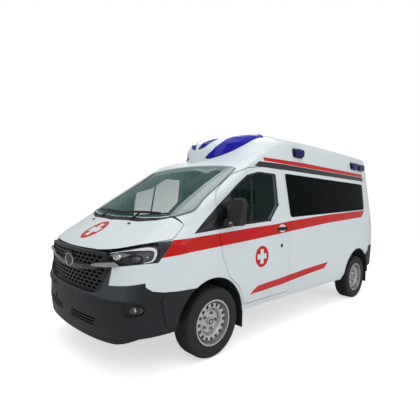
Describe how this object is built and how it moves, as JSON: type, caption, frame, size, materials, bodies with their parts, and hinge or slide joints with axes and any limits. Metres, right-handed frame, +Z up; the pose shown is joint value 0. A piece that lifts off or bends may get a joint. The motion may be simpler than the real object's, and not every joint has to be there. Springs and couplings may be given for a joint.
{
  "type": "ambulance",
  "caption": "Van ambulance with a raised roof, roof and side beacons, opening front, rear and bonnet panels, steered front wheels and a hollow cab and load space.",
  "frame": {"origin": "on the ground, at the middle of the bounding box in plan", "axes": "+Z is up, the front of the vehicle faces -Y, and the driver's side, its left, is +X"},
  "size_m": [2.3294, 5.3398, 2.4899],
  "materials": {
    "white_paint": "gloss",
    "dark_plastic": "matte",
    "gloss_black": "gloss",
    "clear_glass": "gloss",
    "privacy_glass": "gloss",
    "lamp_glass": "gloss",
    "blue_lens": "gloss",
    "red_lens": "gloss",
    "tyre": "matte",
    "wheel_steel": "satin",
    "cast_parts": "matte",
    "under_body": "matte",
    "rubber_black": "matte",
    "cab_plastic": "matte",
    "seat_cloth": "matte",
    "floor_cover": "matte"
  },
  "bodies": {
    "body": {"body_side_left": "white_paint", "body_side_right": "white_paint", "sliding_side_door": "white_paint", "roof_cap": "white_paint", "front_fenders": "white_paint", "nose_panels": "white_paint", "windscreen": "clear_glass", "side_glass": "privacy_glass", "cowl_panel": "dark_plastic", "front_bumper": "dark_plastic", "rear_bumper": "dark_plastic", "headlamps": "lamp_glass", "tail_lamps": "red_lens", "door_seals": "rubber_black", "floor_pan": "floor_cover", "wheel_housings": "dark_plastic", "grille": "gloss_black", "beacon_housing": "white_paint", "beacon_lenses": "blue_lens", "side_beacons": "blue_lens", "wipers": "dark_plastic", "dashboard": "cab_plastic", "front_seats": "seat_cloth", "partition": "white_paint", "engine": "cast_parts", "front_suspension": "cast_parts", "rear_suspension": "cast_parts", "fuel_tank": "under_body", "exhaust": "wheel_steel", "mud_flaps": "rubber_black", "fog_lamps": "lamp_glass"},
    "steer_left": {"knuckle_left": "cast_parts"},
    "steer_right": {"knuckle_right": "cast_parts"},
    "door_front_left": {"front_door_left": "white_paint", "front_door_glass_left": "clear_glass", "mirror_left": "dark_plastic"},
    "door_front_right": {"front_door_right": "white_paint", "front_door_glass_right": "clear_glass", "mirror_right": "dark_plastic"},
    "door_rear_left": {"rear_door_left": "white_paint", "rear_door_glass_left": "privacy_glass"},
    "door_rear_right": {"rear_door_right": "white_paint", "rear_door_glass_right": "privacy_glass"},
    "bonnet": {"bonnet": "white_paint"},
    "steering_wheel": {"steering_wheel": "cab_plastic"},
    "wheel_front_left": {"tyre_front_left": "tyre", "rim_front_left": "wheel_steel"},
    "wheel_front_right": {"tyre_front_right": "tyre", "rim_front_right": "wheel_steel"},
    "wheel_rear_left": {"tyre_rear_left": "tyre", "rim_rear_left": "wheel_steel"},
    "wheel_rear_right": {"tyre_rear_right": "tyre", "rim_rear_right": "wheel_steel"}
  },
  "joints": [
    {"name": "steer_left", "type": "hinge", "parent": "body", "child": "steer_left", "pos_m": [0.79, -1.641, 0.343], "axis": [0, 0, 1], "range_deg": [-33, 33]},
    {"name": "steer_right", "type": "hinge", "parent": "body", "child": "steer_right", "pos_m": [-0.79, -1.641, 0.343], "axis": [0, 0, 1], "range_deg": [-33, 33]},
    {"name": "steering_wheel_turn", "type": "hinge", "parent": "body", "child": "steering_wheel", "pos_m": [0.415, -1.289, 1.148], "axis": [0, 0.8829, 0.4695], "range_deg": [-495, 495]},
    {"name": "wheel_front_left_spin", "type": "hinge", "parent": "steer_left", "child": "wheel_front_left", "pos_m": [0.87, -1.641, 0.343], "axis": [1, 0, 0], "continuous": true},
    {"name": "wheel_front_right_spin", "type": "hinge", "parent": "steer_right", "child": "wheel_front_right", "pos_m": [-0.87, -1.641, 0.343], "axis": [1, 0, 0], "continuous": true},
    {"name": "wheel_rear_left_spin", "type": "hinge", "parent": "body", "child": "wheel_rear_left", "pos_m": [0.862, 1.659, 0.343], "axis": [1, 0, 0], "continuous": true},
    {"name": "wheel_rear_right_spin", "type": "hinge", "parent": "body", "child": "wheel_rear_right", "pos_m": [-0.862, 1.659, 0.343], "axis": [1, 0, 0], "continuous": true},
    {"name": "door_front_left_open", "type": "hinge", "parent": "body", "child": "door_front_left", "pos_m": [0.985, -1.615, 1], "axis": [0, 0, -1], "range_deg": [0, 65]},
    {"name": "door_front_right_open", "type": "hinge", "parent": "body", "child": "door_front_right", "pos_m": [-0.985, -1.615, 1], "axis": [0, 0, 1], "range_deg": [0, 65]},
    {"name": "door_rear_left_open", "type": "hinge", "parent": "body", "child": "door_rear_left", "pos_m": [0.8035, 2.612, 1.2], "axis": [0, 0, -1], "range_deg": [0, 180]},
    {"name": "door_rear_right_open", "type": "hinge", "parent": "body", "child": "door_rear_right", "pos_m": [-0.8035, 2.612, 1.2], "axis": [0, 0, 1], "range_deg": [0, 180]},
    {"name": "bonnet_open", "type": "hinge", "parent": "body", "child": "bonnet", "pos_m": [0, -1.967, 1.34], "axis": [-1, 0, 0], "range_deg": [0, 55]}
  ],
  "couplings": [
    {"joint": "steer_right", "follows": "steer_left", "ratio": 1},
    {"joint": "steering_wheel_turn", "follows": "steer_left", "ratio": 15}
  ]
}
